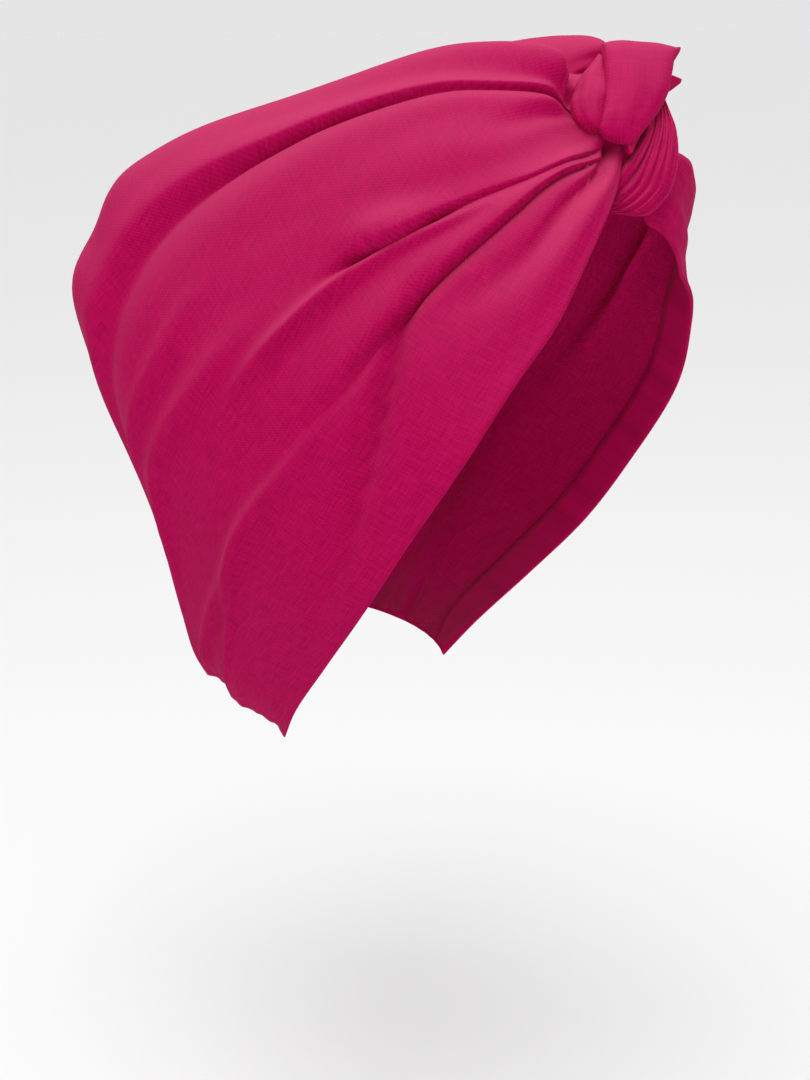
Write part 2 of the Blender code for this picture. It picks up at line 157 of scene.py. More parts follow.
# Folds that run from the knot to the nape, on one side each. Path is the share of the way from the middle to
# the hem and lift a share of foldDepth, both at foldAlong.
foldAlong = (0, 0.04, 0.08, 0.14, 0.2, 0.35, 0.5, 0.65, 0.8, 1)
crownFolds = [
    {"name": "roll", "side": right, "width": 0.12,
     "path": (0.30, 0.27, 0.24, 0.22, 0.20, 0.22, 0.26, 0.33, 0.42, 0.50),
     "lift": (0.5, 1.15, 1.65, 1.6, 1.4, 0.75, 1, 0.9, -0.4, 0)},
    {"name": "fieldTop", "side": right, "width": 0.06,
     "path": (0.63, 0.56, 0.485, 0.435, 0.402, 0.42, 0.505, 0.535, 0.57, 0.62),
     "lift": (0, 0.2, 0.45, 0.55, 0.55, 0.4, 0.2, 0.25, 0.15, 0)},
    {"name": "backRidge", "side": right, "width": 0.035,
     "path": (0.46, 0.42, 0.38, 0.35, 0.33, 0.34, 0.355, 0.412, 0.465, 0.54),
     "lift": (0, 0, 0, 0, 0, 0, 0.1, 0.22, 0.15, 0)},
    {"name": "field", "side": right, "width": 0.12,
     "path": (0.60, 0.58, 0.56, 0.54, 0.52, 0.53, 0.55, 0.56, 0.56, 0.56),
     "lift": (0, 0.1, 0.2, 0.35, 0.5, 0.5, 0.35, 0.2, 0, 0)},
    {"name": "pocketRidge", "side": right, "width": 0.014,
     "path": (0.74, 0.74, 0.74, 0.735, 0.715, 0.70, 0.717, 0.72, 0.72, 0.72),
     "lift": (0, 0, 0, 0, 0, 0.4, 0.5, 0, 0, 0)},
    {"name": "bandValley", "side": right, "width": 0.014,
     "path": (0.80, 0.80, 0.80, 0.80, 0.80, 0.78, 0.872, 0.932, 0.96, 0.97),
     "lift": (0, 0, 0, 0, 0, -0.1, -0.8, -0.5, -0.1, 0)},
    {"name": "sideRidge", "side": right, "width": 0.014,
     "path": (0.84, 0.84, 0.84, 0.84, 0.84, 0.84, 0.835, 0.832, 0.796, 0.74),
     "lift": (0, 0, 0, 0, 0, 0, 0, 0.3, 0.25, 0)},
    {"name": "knotValley", "side": right, "width": 0.022,
     "path": (0.86, 0.87, 0.88, 0.86, 0.865, 0.85, 0.85, 0.85, 0.85, 0.85),
     "lift": (-1, -1.4, -0.8, -0.5, -0.35, -0.1, 0, 0, 0, 0)},
    {"name": "hemBand", "side": right, "width": 0.04,
     "path": (0.96, 0.95, 0.94, 0.93, 0.93, 0.93, 0.93, 0.95, 0.95, 0.95),
     "lift": (0.1, 0.25, 0.3, 0.3, 0.3, 0.1, 0, 0, 0, 0)},
    {"name": "backFold", "side": right, "width": 0.016,
     "path": (0.58, 0.58, 0.58, 0.58, 0.58, 0.58, 0.57, 0.592, 0.555, 0.52),
     "lift": (0, 0, 0, 0, 0, 0, 0, 0.35, 0.1, 0)},
    {"name": "sideFold", "side": right, "width": 0.02,
     "path": (0.67, 0.67, 0.67, 0.67, 0.67, 0.67, 0.67, 0.666, 0.615, 0.55),
     "lift": (0, 0, 0, 0, 0, 0, 0, 0.4, 0.35, 0)},
    {"name": "napeFold", "side": right, "width": 0.02,
     "path": (0.82, 0.82, 0.82, 0.82, 0.82, 0.82, 0.82, 0.82, 0.79, 0.585),
     "lift": (0, 0, 0, 0, 0, 0, 0, 0, 0.4, 0.2)},
    {"name": "farRoll", "side": left, "width": 0.12,
     "path": (0.30, 0.27, 0.24, 0.22, 0.20, 0.22, 0.26, 0.33, 0.42, 0.50),
     "lift": (0.5, 1.35, 2.05, 1.8, 1.4, 0.75, 1, 0.9, -0.4, 0)},
    {"name": "farFieldTop", "side": left, "width": 0.06,
     "path": (0.63, 0.575, 0.51, 0.465, 0.43, 0.445, 0.485, 0.53, 0.57, 0.62),
     "lift": (0, 0.1, 0.15, 0.2, 0.2, 0.2, 0.2, 0.2, 0.1, 0)},
    {"name": "farField", "side": left, "width": 0.12,
     "path": (0.60, 0.58, 0.56, 0.555, 0.55, 0.56, 0.57, 0.56, 0.56, 0.56),
     "lift": (0, 0.1, 0.2, 0.35, 0.5, 0.5, 0.35, 0.2, 0, 0)},
    {"name": "farBackFold", "side": left, "width": 0.02,
     "path": (0.64, 0.64, 0.64, 0.64, 0.64, 0.64, 0.64, 0.64, 0.60, 0.54),
     "lift": (0, 0, 0, 0, 0, 0, 0, 0.22, 0.2, 0)},
    {"name": "farNapeFold", "side": left, "width": 0.022,
     "path": (0.80, 0.80, 0.80, 0.80, 0.80, 0.80, 0.80, 0.80, 0.77, 0.62),
     "lift": (0, 0, 0, 0, 0, 0, 0, 0.1, 0.22, 0.1)},
    {"name": "farHemBand", "side": left, "width": 0.07,
     "path": (0.90, 0.90, 0.90, 0.90, 0.90, 0.92, 0.94, 0.95, 0.95, 0.95),
     "lift": (0, 0.7, 1.3, 1.1, 0.7, 0.1, 0, 0, 0, 0)},
    {"name": "farPleatValley", "side": left, "width": 0.014,
     "path": (0.93, 0.93, 0.93, 0.935, 0.94, 0.95, 0.95, 0.95, 0.95, 0.95),
     "lift": (0, -0.1, -0.3, -0.35, -0.2, 0, 0, 0, 0, 0)},
    {"name": "farPleat", "side": left, "width": 0.014,
     "path": (0.965, 0.965, 0.965, 0.965, 0.965, 0.965, 0.965, 0.965, 0.965, 0.965),
     "lift": (0, 0.1, 0.25, 0.2, 0.1, 0, 0, 0, 0, 0)},
    {"name": "farHemInset", "side": left, "width": 0.25,
     "path": (1, 1, 1, 1, 1, 1, 1, 1, 1, 1),
     "lift": (0, 0.3, 0.5, 0.1, -0.5, -0.5, 0, 0, 0, 0)},
]

# Creases, where one layer lies over the next. Lip is how high the upper layer ends, depth how far the lower
# one dips beside it, and edge how sharp the step is, all at creaseAlong. Lip and depth are shares of
# foldDepth.
creaseAlong = (0, 0.04, 0.08, 0.14, 0.2, 0.28, 0.36, 0.42, 0.5, 0.6, 0.7, 0.8, 1)
crownCreases = [
    {"name": "rollCrease", "side": right, "width": 0.05,
     "path": (0.56, 0.49, 0.425, 0.38, 0.347, 0.342, 0.352, 0.365, 0.387, 0.415, 0.447, 0.49, 0.58),
     "lip": (0.3, 0.5, 0.45, 0.35, 0.35, 0.4, 0.4, 0.32, 0.22, 0.16, 0.1, 0.05, 0),
     "depth": (0.3, 0.4, 0.35, 0.2, 0.15, 0.25, 0.45, 0.6, 0.6, 0.5, 0.4, 0.25, 0),
     "edge": (0.007, 0.007, 0.007, 0.007, 0.008, 0.008, 0.009, 0.014, 0.028, 0.035, 0.04, 0.045, 0.05)},
    {"name": "middleCrease", "side": right, "width": 0.045,
     "path": (0.83, 0.80, 0.77, 0.727, 0.692, 0.675, 0.673, 0.68, 0.71, 0.725, 0.73, 0.74, 0.75),
     "lip": (0.2, 0.3, 0.25, 0.14, 0.12, 0.25, 0.6, 0.15, 0.06, 0.02, 0, 0, 0),
     "depth": (0.2, 0.3, 0.2, 0.12, 0.12, 0.25, 1.3, 0.2, 0.06, 0.02, 0, 0, 0),
     "edge": (0.006, 0.006, 0.006, 0.007, 0.007, 0.007, 0.006, 0.01, 0.02, 0.03, 0.03, 0.03, 0.03)},
    {"name": "lowerCrease", "side": right, "width": 0.04,
     "path": (0.90, 0.86, 0.81, 0.76, 0.757, 0.766, 0.786, 0.798, 0.814, 0.82, 0.815, 0.79, 0.75),
     "lip": (0.2, 0.3, 0.3, 0.3, 0.35, 0.35, 0.35, 0.3, 0.22, 0.08, 0, 0, 0),
     "depth": (0.2, 0.3, 0.3, 0.3, 0.3, 0.3, 0.35, 0.35, 0.22, 0.06, 0, 0, 0),
     "edge": (0.006, 0.006, 0.006, 0.006, 0.006, 0.006, 0.006, 0.007, 0.012, 0.02, 0.02, 0.02, 0.02)},
    {"name": "farRollCrease", "side": left, "width": 0.05,
     "path": (0.50, 0.46, 0.42, 0.38, 0.36, 0.36, 0.375, 0.38, 0.395, 0.42, 0.46, 0.51, 0.60),
     "lip": (0.3, 0.4, 0.5, 0.45, 0.35, 0.3, 0.28, 0.25, 0.2, 0.1, 0.05, 0, 0),
     "depth": (0.3, 0.4, 0.4, 0.35, 0.3, 0.3, 0.3, 0.3, 0.25, 0.2, 0.15, 0.1, 0),
     "edge": (0.007, 0.007, 0.007, 0.007, 0.008, 0.008, 0.008, 0.01, 0.02, 0.035, 0.04, 0.045, 0.05)},
    {"name": "farMiddleCrease", "side": left, "width": 0.045,
     "path": (0.81, 0.79, 0.76, 0.735, 0.715, 0.71, 0.72, 0.725, 0.735, 0.745, 0.75, 0.75, 0.75),
     "lip": (0.2, 0.3, 0.3, 0.3, 0.35, 0.45, 0.5, 0.35, 0.15, 0.05, 0, 0, 0),
     "depth": (0.2, 0.3, 0.25, 0.25, 0.25, 0.4, 0.6, 0.4, 0.15, 0.05, 0, 0, 0),
     "edge": (0.006, 0.006, 0.006, 0.007, 0.007, 0.007, 0.007, 0.01, 0.02, 0.03, 0.03, 0.03, 0.03)},
    {"name": "farLowerCrease", "side": left, "width": 0.04,
     "path": (0.88, 0.85, 0.82, 0.80, 0.80, 0.815, 0.83, 0.84, 0.845, 0.845, 0.84, 0.82, 0.78),
     "lip": (0.2, 0.3, 0.35, 0.35, 0.35, 0.35, 0.3, 0.25, 0.15, 0.05, 0, 0, 0),
     "depth": (0.2, 0.3, 0.35, 0.35, 0.35, 0.35, 0.3, 0.25, 0.15, 0.05, 0, 0, 0),
     "edge": (0.006, 0.006, 0.006, 0.006, 0.006, 0.006, 0.007, 0.01, 0.014, 0.02, 0.02, 0.02, 0.02)},
]

# Corners and hollows that are short: how far each reaches along and across, and its lift
crownDents = [
    {"name": "backCorner", "side": right, "along": 0.55, "across": 0.23, "reach": (0.04, 0.09), "lift": 0.25},
    {"name": "backFlat", "side": right, "along": 0.61, "across": 0.27, "reach": (0.03, 0.09), "lift": -0.2},
    {"name": "lowCorner", "side": right, "along": 0.67, "across": 0.32, "reach": (0.035, 0.1), "lift": 0.3},
    {"name": "besideKnot", "side": right, "along": 0.03, "across": 0.45,
     "reach": (0.02, 0.14), "lift": -0.35},
    {"name": "underKnot", "side": right, "along": 0.025, "across": 0.87, "reach": (0.02, 0.05), "lift": -0.5},
    {"name": "rollValley", "side": left, "along": 0.07, "across": 0.06, "reach": (0.05, 0.05), "lift": -0.6},
]
packedAlong = (0, 0.05, 0.1, 0.25, 1)
packedShare = (0.15, 0.3, 0.75, 1, 1)  # folds flatten where the cloth is packed into the knot

# Fine waves: how often they turn across and along, their slant, start, seed and height, and where they lie
fineWaves = [
    {"name": "knotPleats", "across": 7, "along": 1.5, "slant": 0, "start": 0,
     "seed": 3, "height": 0.0006, "centreAndWidth": (0.09, 0.09)},
    {"name": "slowDents", "across": 2.2, "along": 3.1, "slant": 0, "start": 5,
     "seed": 8, "height": 0.0006, "fadeIn": (0.15, 0.45)},
    {"name": "smallFolds", "across": 5, "along": 2.3, "slant": 1, "start": 0,
     "seed": 21, "height": 0.00025, "fadeIn": (0.1, 0.3)},
    {"name": "napePuckers", "across": 11, "along": 2, "slant": 0, "start": 0,
     "seed": 5, "height": 0.0006, "fadeIn": (0.86, 1)},
]

crown = {
    "acrossFaces": 230,
    "alongFaces": 150,
    "creaseHome": (0.38, 0.68, 0.84),  # where the three creases lie in the flat grid
    "crowding": 0.6,  # how close the columns come at a crease
    "knotCrowding": 1.2,
    "hemFaces": 9,  # columns that turn the hem under, on each side
    "hemTurn": 0.0008,  # radius of the folded edge
    "hemTurnShare": 0.45,  # of the hem's columns, for the folded edge
    "hemOpening": 0.05,  # share of the way from the knot over which the fold opens
    "hemDepth": 0.012,  # cloth turned under
    "thickness": 0.0008,
    "napeArch": 0.009,
    "archFrom": 0.9,
    "napeGathers": 0.0013,
    "gathersFrom": 0.84,
    "gatherGrowth": 1.5,  # 1 grows evenly, and more grows late
    "gatherFade": 0.75,  # share of the way to the hem where the gathers begin to fade
    "gatherCount": 7.5,
    "overhang": 0.016,  # how far a lip hangs over its crease, as a share of the way to the hem
    "overhangWidth": 1.5,  # in widths of the crease's edge
    "dipWidth": 0.014,
    "frontPush": 0.007,  # how far the two rolls bulge forward over the knot's back
    "pushStretches": (0.025, 0.06, 0.08, 0.2),
    "pushCentre": 0.26,
    "pushWidth": 0.17,
    "farTuck": (-0.007, 0.002, -0.013),  # how far the left hem moves in, back and down below the knot
    "tuckStretches": (0.03, 0.08, 0.1, 0.3),
    "tuckFrom": 0.88,
    "flatSize": (0.42, 0.30),
}


# The crown without its folds. Across runs from -1 at the right hem, over 0 in the middle, to 1 at the left
def smoothCrown(along, across):
    columns = smoothCurve(crownTable[:, 0], crownTable[:, 1:], along)
    hemX, hemY, hemZ, midY, midZ, sweep = np.moveaxis(columns, -1, 0)
    angle = np.abs(across) * sweep
    tuck = np.cos(sweep)
    centreY = (hemY - midY * tuck) / (1 - tuck)
    centreZ = (hemZ - midZ * tuck) / (1 - tuck)
    x = np.sign(across) * hemX / np.sin(sweep) * np.sin(angle)
    y = centreY + (midY - centreY) * np.cos(angle)
    z = centreZ + (midZ - centreZ) * np.cos(angle)
    return np.stack([x, y, z], -1)


# How far the folds lift the cloth, and how far their lips shift towards the hem
def foldRelief(along, across):
    height = np.zeros(along.shape)
    shift = np.zeros(along.shape)
    packed = smoothCurve(packedAlong, packedShare, along)
    for fold in crownFolds:
        away = np.abs(across) - smoothCurve(foldAlong, fold["path"], along)
        lift = smoothCurve(foldAlong, fold["lift"], along) * packed
        lift = np.where(across * fold["side"] > 0, lift, 0)
        height += lift * hump(away, fold["width"])
    for crease in crownCreases:
        path, lip, depth, edge = [
            smoothCurve(creaseAlong, crease[part], along) for part in ("path", "lip", "depth", "edge")
        ]
        share = np.where(across * crease["side"] > 0, packed, 0)
        away = np.abs(across) - path
        under = smoothStep(-edge, edge, away)
        upper = hump(away, crease["width"]) * (1 - under)
        dip = hump(away, edge + crown["dipWidth"]) * under
        height += share * (lip * upper - depth * dip)
        shift += share * (lip + depth) * crown["overhang"] * hump(away, crown["overhangWidth"] * edge)
    for dent in crownDents:
        lengthways = hump(along - dent["along"], dent["reach"][0])
        sideways = hump(across * dent["side"] - dent["across"], dent["reach"][1])
        height += dent["lift"] * lengthways * sideways
    return height * wrap["foldDepth"], shift * np.sign(across)


# How far a place lies between a start and the nape, from 0 to 1
def towardsNape(start, along):
    return np.clip((along - start) / (1 - start), 0, 1)


# Fine wrinkles, and the gathers of the nape
def fineRelief(along, across):
    height = np.zeros(along.shape)
    for wave in fineWaves:
        x = across * wave["across"] + along * wave["slant"] + wave["start"]
        if "fadeIn" in wave:
            share = smoothStep(*wave["fadeIn"], along)
        else:
            centre, width = wave["centreAndWidth"]
            share = hump(along - centre, width)
        height += wave["height"] * share * waves(x, along * wave["along"], wave["seed"])
    gathers = towardsNape(crown["gathersFrom"], along) ** crown["gatherGrowth"]
    gathers *= 1 - smoothStep(crown["gatherFade"], 1, np.abs(across))
    return height + crown["napeGathers"] * gathers * np.cos(across * math.pi * crown["gatherCount"])


# The outer face of the crown, or a face that lies deeper
def crownSurface(along, across, depth=0):
    step = 0.002  # either way, for the slope of the surface
    height, shift = foldRelief(along, across)
    down = smoothCrown(along + step, across) - smoothCrown(along - step, across)
    sideways = smoothCrown(along, across + step) - smoothCrown(along, across - step)
    normal = np.cross(sideways, down)
    normal /= np.linalg.norm(normal, axis=-1, keepdims=True)
    height = height + fineRelief(along, across) - depth
    surface = smoothCrown(along, across + shift) + normal * height[..., None]
    push = riseAndFall(crown["pushStretches"], along)
    push *= hump(np.abs(across) - crown["pushCentre"], crown["pushWidth"])
    surface[..., 1] -= crown["frontPush"] * push
    tuck = riseAndFall(crown["tuckStretches"], along) * smoothStep(crown["tuckFrom"], 1, across)
    surface += tuck[..., None] * np.array(crown["farTuck"])
    nape = towardsNape(crown["archFrom"], along) ** 2
    surface[..., 2] += crown["napeArch"] * nape * np.sqrt(np.cos(np.abs(across) * math.pi / 2).clip(0))
    return surface


# Vertex coordinates of a mesh as rows, and back
def readPoints(mesh):
    points = np.empty(len(mesh.vertices) * 3)
    mesh.vertices.foreach_get("co", points)
    return points.reshape(-1, 3)


def movePoints(mesh, points):
    mesh.vertices.foreach_set("co", points.ravel())
    mesh.update()


# Where each vertex lies in the flat cloth, in metres, so that the threads keep their size
def layCloth(mesh, across, along):
    plan = mesh.uv_layers.get("clothPlan") or mesh.uv_layers.new(name="clothPlan")
    corners = np.empty(len(mesh.loops), int)
    mesh.loops.foreach_get("vertex_index", corners)
    plan.data.foreach_set("uv", np.stack([across[corners], along[corners]], -1).ravel())


def gridObject(name, acrossFaces, alongFaces):
    bpy.ops.mesh.primitive_grid_add(x_subdivisions=acrossFaces, y_subdivisions=alongFaces, size=2)
    grid = bpy.context.object
    grid.name = name
    grid.data.name = name
    return grid


# Columns of the crown's grid follow its creases and crowd together there, so that each crease stays crisp
def followCreases(along, flatAcross):
    result = np.zeros(along.shape)
    for side in (right, left):
        creases = [crease for crease in crownCreases if crease["side"] == side]
        home = [0, *crown["creaseHome"], 1]
        paths = [np.zeros(along.shape)]
        paths += [smoothCurve(creaseAlong, crease["path"], along) for crease in creases]
        paths += [np.ones(along.shape)]
        share = np.abs(flatAcross)
        followed = np.zeros(along.shape)
        for low, high, start, end in zip(home, home[1:], paths, paths[1:]):
            part = np.clip((share - low) / (high - low), 0, 1)
            part -= crown["crowding"] * np.sin(2 * math.pi * part) / (2 * math.pi)
            followed += part * (end - start)
        result = np.where(flatAcross * side > 0, side * followed, result)
    return result


# The turned hem: half a turn in its first columns, then back along the inside
def turnHem(along, side, beyond):
    turn = np.clip(beyond / crown["hemTurnShare"], 0, 1) * math.pi
    inside = np.clip((beyond - crown["hemTurnShare"]) / (1 - crown["hemTurnShare"]), 0, 1) * crown["hemDepth"]
    step = 0.004
    inset = 0.001
    arm = crownSurface(along, side) - crownSurface(along, side * (1 - step))
    armLength = np.maximum(np.linalg.norm(arm, axis=-1), 1e-6)  # never 0, not even at the knot
    back = side * (1 - step * inside / armLength)
    folded = crownSurface(along, back)
    outwards = folded - crownSurface(along, back, inset)
    outwards /= np.linalg.norm(outwards, axis=-1, keepdims=True)
    radius = crown["hemTurn"] * smoothStep(0, crown["hemOpening"], along)
    folded += outwards * (radius * (np.cos(turn) - 1))[:, None]
    folded += arm / armLength[:, None] * (radius * np.sin(turn))[:, None]
    return folded


# Distances on the crown without its folds, from the nearer hem and from the knot, at each vertex of its grid
def crownPlan(along, across, order, columns):
    rows = smoothCrown(along, across)[order].reshape(crown["alongFaces"] + 1, columns + 1, 3)
    acrossStep = np.linalg.norm(np.diff(rows, axis=1), axis=-1)
    acrossRun = np.concatenate([np.zeros((len(rows), 1)), acrossStep.cumsum(1)], 1)
    acrossRun = np.minimum(acrossRun, acrossRun[:, -1:] - acrossRun)
    alongStep = np.linalg.norm(np.diff(rows, axis=0), axis=-1)
    alongRun = np.concatenate([np.zeros((1, columns + 1)), alongStep.cumsum(0)], 0)
    place = np.empty(len(order), int)
    place[order] = np.arange(len(order))
    return acrossRun.ravel()[place], alongRun.ravel()[place]


# The crown is a flat grid bent to its surface. Its outermost columns turn the hem under
def makeCrown():
    columns = crown["acrossFaces"] + 2 * crown["hemFaces"]
    piece = gridObject("crown_cloth", columns, crown["alongFaces"])
    flat = readPoints(piece.data)
    along = ((1 + flat[:, 1]) / 2) ** crown["knotCrowding"]
    hemShare = 2 * crown["hemFaces"] / columns
    beyond = np.clip((np.abs(flat[:, 0]) - (1 - hemShare)) / hemShare, 0, 1)
    across = followCreases(along, np.clip(flat[:, 0] / (1 - hemShare), -1, 1))
    hem = turnHem(along, np.sign(flat[:, 0]), beyond)
    movePoints(piece.data, np.where((beyond > 0)[:, None], hem, crownSurface(along, across)))
    order = np.lexsort((flat[:, 0], flat[:, 1]))  # row by row
    layCloth(piece.data, *crownPlan(along, across, order, columns))
    shell = piece.modifiers.new("Cloth", "SOLIDIFY")
    shell.thickness = crown["thickness"]
    shell.offset = -1
    piece.data.shade_smooth()
    return piece


# Each strand of the knot. A section is its place along the strand, and the two edges there as shares of the
# knot's size from its centre. Front and belly are how far its faces swell from the edges. A fullness of 1 is
# round, and less is squarer.
knotStrands = {
    "wide_fold": {
        "node": "knot_over_strand", "front": 0.0055, "belly": 0.012, "fullness": 0.7, "faces": (120, 90),
        "flatSize": (0.030, 0.037), "pleats": 0, "pleatDepth": 0,
        "sections": [
            (0.00, 0.01, 0.28, 0.42, 0.52, -0.26, 0.38),
            (0.10, -0.08, 0.21, 0.39, 0.42, -0.26, 0.34),
            (0.25, -0.16, 0.16, 0.30, 0.32, -0.28, 0.25),
            (0.45, -0.25, 0.11, 0.18, 0.21, -0.30, 0.14),
            (0.65, -0.35, 0.06, 0.07, 0.07, -0.27, 0.03),
            (0.82, -0.41, 0.05, 0.00, -0.08, -0.25, -0.04),
            (0.93, -0.43, 0.04, -0.05, -0.19, -0.22, -0.09),
            (1.00, -0.35, -0.01, -0.08, -0.23, -0.15, -0.10),
        ],
    },
    "corner_flap": {
        "node": "knot_over_strand", "front": 0.0012, "belly": 0.003, "fullness": 0.8, "faces": (48, 40),
        "flatSize": (0.010, 0.010), "flatArea": 0.00006, "pleats": 0, "pleatDepth": 0,
        "sections": [
            (0.00, -0.26, -0.04, -0.02, -0.01, -0.21, -0.01),
            (0.35, -0.27, -0.10, -0.08, -0.11, -0.22, -0.07),
            (0.70, -0.28, -0.16, -0.13, -0.20, -0.21, -0.13),
            (1.00, -0.29, -0.21, -0.17, -0.25, -0.21, -0.17),
        ],
    },
    "side_fold": {
        "node": "knot_over_strand", "front": 0.0045, "belly": 0.005, "fullness": 0.8, "faces": (90, 70),
        "flatSize": (0.012, 0.031), "pleats": 1, "pleatDepth": 0.0004,
        "sections": [
            (0.00, -0.05, 0.27, 0.37, -0.06, 0.21, 0.34),
            (0.15, -0.14, 0.31, 0.30, -0.10, 0.16, 0.27),
            (0.35, -0.24, 0.36, 0.23, -0.17, 0.09, 0.19),
            (0.55, -0.35, 0.36, 0.15, -0.25, 0.04, 0.12),
            (0.70, -0.44, 0.34, 0.09, -0.31, 0.04, 0.06),
            (0.85, -0.50, 0.25, 0.01, -0.37, 0.03, -0.01),
            (1.00, -0.48, 0.12, -0.05, -0.40, 0.04, -0.06),
        ],
    },
    "sliver_fold": {
        "node": "knot_over_strand", "front": 0.0014, "belly": 0.002, "fullness": 0.9, "faces": (32, 40),
        "flatSize": (0.010, 0.010), "pleats": 0, "pleatDepth": 0,
        "sections": [
            (0.00, -0.26, 0.13, 0.20, -0.21, 0.10, 0.18),
            (0.50, -0.41, 0.10, 0.07, -0.31, 0.04, 0.06),
            (1.00, -0.46, 0.05, -0.04, -0.38, 0.01, -0.06),
        ],
    },
    "pleated_strand": {
        "node": "knot_under_strand", "front": 0.0055, "belly": 0.006, "fullness": 0.8, "faces": (200, 110),
        "flatSize": (0.020, 0.042), "pleats": 6, "pleatDepth": 0.00045,
        "sections": [
            (0.00, 0.26, -0.05, 0.13, 0.37, -0.16, 0.14),
            (0.15, 0.20, -0.13, 0.04, 0.31, -0.26, 0.03),
            (0.30, 0.09, -0.14, -0.06, 0.28, -0.36, -0.08),
            (0.45, 0.00, -0.12, -0.15, 0.22, -0.42, -0.20),
            (0.60, -0.10, -0.08, -0.24, 0.14, -0.44, -0.32),
            (0.75, -0.22, -0.02, -0.33, 0.06, -0.39, -0.43),
            (0.88, -0.29, 0.06, -0.39, -0.09, -0.27, -0.52),
            (1.00, -0.33, 0.13, -0.45, -0.23, -0.03, -0.51),
        ],
    },
    "inner_roll": {
        "node": "knot_under_strand", "front": 0.0035, "belly": 0.0035, "fullness": 0.9, "faces": (48, 70),
        "flatSize": (0.010, 0.024), "pleats": 0, "pleatDepth": 0,
        "sections": [
            (0.00, 0.11, -0.14, 0.04, 0.15, -0.22, 0.03),
            (0.20, 0.01, -0.17, -0.05, 0.08, -0.23, -0.05),
            (0.40, -0.10, -0.14, -0.15, -0.02, -0.22, -0.16),
            (0.60, -0.21, -0.08, -0.24, -0.12, -0.18, -0.26),
            (0.80, -0.29, -0.01, -0.33, -0.20, -0.11, -0.34),
            (1.00, -0.33, 0.06, -0.40, -0.26, -0.03, -0.42),
        ],
    },
    "upper_tail": {
        "node": "tail_upper", "front": 0.0008, "belly": 0.0008, "fullness": 0.6, "faces": (48, 30),
        "flatSize": (0.010, 0.010), "pleats": 0, "pleatDepth": 0,
        "sections": [
            (0.0, 0.34, -0.09, 0.38, 0.30, -0.12, 0.25),
            (0.5, 0.58, -0.13, 0.39, 0.53, -0.13, 0.28),
            (1.0, 0.78, -0.12, 0.39, 0.77, -0.12, 0.37),
        ],
    },
    "lower_tail": {
        "node": "tail_lower", "front": 0.0008, "belly": 0.0008, "fullness": 0.6, "faces": (48, 30),
        "flatSize": (0.010, 0.010), "pleats": 0, "pleatDepth": 0,
        "sections": [
            (0.0, 0.28, -0.10, 0.24, 0.24, -0.13, 0.12),
            (0.5, 0.52, -0.15, 0.24, 0.46, -0.13, 0.13),
            (1.0, 0.73, -0.17, 0.21, 0.71, -0.17, 0.19),
        ],
    },
}


strandDetail = {
    "pleatDrift": 0.03,  # how far the pleats wander across the strand
    "driftPace": 5,
    "pleatSharpness": 0.6,  # 1 is a soft wave, and less is sharper
    "unevenness": 0.0004,
    "unevenTurns": (1.5, 1.2),
    "measuredPlaces": 50,  # for its length
}


# The two edges of a strand in metres
def strandEdges(sections, along):
    table = np.array(sections)
    edges = []
    for start in (1, 4):
        edge = smoothCurve(table[:, 0], table[:, start : start + 3], along)
        edges.append(knotCentre + knotSize * edge)
    return edges


def strandMiddle(sections, along):
    return sum(strandEdges(sections, along)) / 2


# A strand is a sphere whose poles go to the ends of its table. Its front and its belly meet at its edges
def makeStrand(name, strand):
    sections = strand["sections"]
    aroundFaces, alongFaces = strand["faces"]
    bpy.ops.mesh.primitive_uv_sphere_add(segments=aroundFaces, ring_count=alongFaces, radius=1)
    piece = bpy.context.object
    piece.name = name
    piece.data.name = name
    ball = readPoints(piece.data)
    along = np.arccos(ball[:, 2].clip(-1, 1)) / math.pi
    around = np.arctan2(ball[:, 0], ball[:, 1])
    pole = np.abs(ball[:, 2]) > 0.99999
    share = np.where(pole, 0.5, (1 - np.cos(around)) / 2)
    ends = np.sin(along * math.pi).clip(0) ** (strand["fullness"] / 2)
    swell = np.where(pole, 0, np.abs(np.sin(around)) ** strand["fullness"] * ends)
    first, second = strandEdges(sections, along)
    step = 0.004
    travel = strandMiddle(sections, along + step) - strandMiddle(sections, along - step)
    outward = np.cross(travel, second - first)
    outward /= np.linalg.norm(outward, axis=-1, keepdims=True)
    front = swell * strand["front"]
    if strand["pleats"]:
        drift = strandDetail["pleatDrift"] * np.sin(strandDetail["driftPace"] * along)
        wave = np.cos(2 * math.pi * strand["pleats"] * (share + drift))
        pleat = np.abs(wave) ** strandDetail["pleatSharpness"] * np.sign(wave)
        front = front - swell * strand["pleatDepth"] * pleat
    turnsAround, turnsAlong = strandDetail["unevenTurns"]
    uneven = waves(share * turnsAround, along * turnsAlong, len(name))
    front = front + swell * strandDetail["unevenness"] * uneven
    height = np.where(np.sin(around) > 0, front, -swell * strand["belly"])
    points = first + (second - first) * share[:, None] + outward * height[:, None]
    movePoints(piece.data, points)
    width = np.linalg.norm(second - first, axis=-1)
    middle = strandMiddle(sections, np.linspace(0, 1, strandDetail["measuredPlaces"]))
    length = np.linalg.norm(np.diff(middle, axis=0), axis=-1).sum()
    layCloth(piece.data, share * width, along * length)
    work = bmesh.new()
    work.from_mesh(piece.data)
    bmesh.ops.recalc_face_normals(work, faces=work.faces)
    work.to_mesh(piece.data)
    work.free()
    piece.data.shade_smooth()
    return piece


